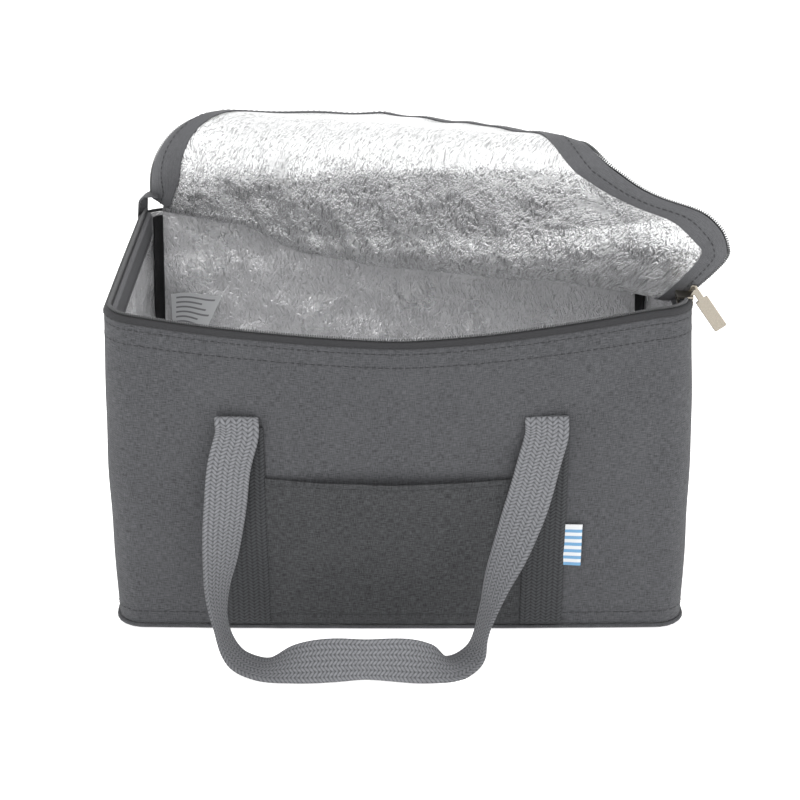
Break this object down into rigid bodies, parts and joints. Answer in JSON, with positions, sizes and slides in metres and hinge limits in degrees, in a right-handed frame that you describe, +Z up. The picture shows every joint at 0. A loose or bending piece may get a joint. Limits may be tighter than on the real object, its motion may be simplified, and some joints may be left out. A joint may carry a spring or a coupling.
{
  "type": "insulated cooler bag",
  "caption": "Soft insulated cooler bag, a foam-walled box with a foil lining, a zipped lid part way open, a front pocket and webbing handles.",
  "frame": {"origin": "centre of the base, on the surface the bag stands on", "axes": "+X to the right seen from the front, +Y to the back, +Z up; the front pocket faces -Y"},
  "size_m": [0.3609, 0.3411, 0.2842],
  "materials": {
    "melange_fabric": "dark and mid grey melange plain-weave polyester, matt with a fine slub",
    "foam": "white closed-cell polyethylene foam, hidden between the layers",
    "foil_liner": "bright embossed aluminised film, crinkled, mirror-like with soft glare",
    "dark_binding": "charcoal nonwoven seam tape, matt",
    "grey_facing": "mid grey plain fabric band, matt, with a row of stitching",
    "zip_tape": "charcoal woven zip tape",
    "zip_coil": "charcoal nylon coil teeth, slight gloss",
    "webbing": "mid grey polypropylene webbing with a dotted weave",
    "white_label": "white satin label with a plain printed bar",
    "plated_zinc": "pale champagne plated zinc"
  },
  "bodies": {
    "bag_body": {"back_strap_left": "webbing", "back_strap_right": "webbing", "base_seam_binding": "melange_fabric", "body_zip_coil": "zip_coil", "body_zip_tape": "zip_tape", "care_label": "white_label", "corner_binding_back_left": "dark_binding", "corner_binding_back_right": "dark_binding", "corner_binding_front_left": "dark_binding", "corner_binding_front_right": "dark_binding", "flag_label": "white_label", "foam_back": "foam", "foam_base": "foam", "foam_front": "foam", "foam_left": "foam", "foam_right": "foam", "front_pocket": "melange_fabric", "front_strap_left": "webbing", "front_strap_right": "webbing", "lid_hinge_tape": "grey_facing", "liner_back": "foil_liner", "liner_base": "foil_liner", "liner_front": "foil_liner", "liner_left": "foil_liner", "liner_right": "foil_liner", "rim_facing": "grey_facing", "shell_back": "melange_fabric", "shell_base": "melange_fabric", "shell_front": "melange_fabric", "shell_left": "melange_fabric", "shell_right": "melange_fabric", "zip_end_tab_left": "grey_facing", "zip_end_tab_right": "grey_facing"},
    "lid_rear": {"lid_rear_facing": "grey_facing", "lid_rear_foam": "foam", "lid_rear_hinge_tape": "grey_facing", "lid_rear_liner": "foil_liner", "lid_rear_shell": "melange_fabric", "lid_rear_zip_coil": "zip_coil", "lid_rear_zip_tape": "zip_tape"},
    "lid_side": {"lid_side_facing": "grey_facing", "lid_side_foam": "foam", "lid_side_left_facing": "grey_facing", "lid_side_left_zip_coil": "zip_coil", "lid_side_left_zip_tape": "zip_tape", "lid_side_liner": "foil_liner", "lid_side_shell": "melange_fabric", "lid_side_zip_coil": "zip_coil", "lid_side_zip_tape": "zip_tape"},
    "lid_front": {"lid_front_facing": "grey_facing", "lid_front_foam": "foam", "lid_front_liner": "foil_liner", "lid_front_shell": "melange_fabric", "lid_front_zip_coil": "zip_coil", "lid_front_zip_tape": "zip_tape"},
    "zip_slider": {"zip_slider": "plated_zinc"},
    "zip_pull": {"zip_pull": "plated_zinc"},
    "front_handle": {"front_handle": "webbing"},
    "back_handle": {"back_handle": "webbing"}
  },
  "joints": [
    {"name": "lid_hinge", "type": "hinge", "parent": "bag_body", "child": "lid_rear", "pos_m": [0, 0.1009, 0.202], "axis": [-1, 0, 0], "range_deg": [0, 100]},
    {"name": "lid_side_fold", "type": "hinge", "parent": "lid_rear", "child": "lid_side", "pos_m": [-0.163, 0.1009, 0.202], "axis": [-0.8707, 0.4919, 0], "range_deg": [-76, 2]},
    {"name": "lid_front_curl", "type": "hinge", "parent": "lid_side", "child": "lid_front", "pos_m": [-0.14453, 0.0767, 0.25007], "axis": [-0.8492, 0.5142, -0.1203], "range_deg": [-114.5, 3.5]},
    {"name": "zip_slide", "type": "slide", "parent": "bag_body", "child": "zip_slider", "axis": [0, 1, 0], "range_m": [0, 0.168]},
    {"name": "pull_swing", "type": "hinge", "parent": "zip_slider", "child": "zip_pull", "pos_m": [0.1694, -0.084, 0.2076], "axis": [0, -1, 0], "range_deg": [-3, 90]},
    {"name": "front_handle_swing", "type": "hinge", "parent": "bag_body", "child": "front_handle", "pos_m": [0, -0.1292, 0.1426], "axis": [-1, 0, 0], "range_deg": [0, 120]},
    {"name": "back_handle_swing", "type": "hinge", "parent": "bag_body", "child": "back_handle", "pos_m": [0, 0.1135, 0.1426], "axis": [1, 0, 0], "range_deg": [0, 120]}
  ],
  "couplings": [
    {"joint": "lid_front_curl", "follows": "lid_side_fold", "ratio": 1.5}
  ]
}
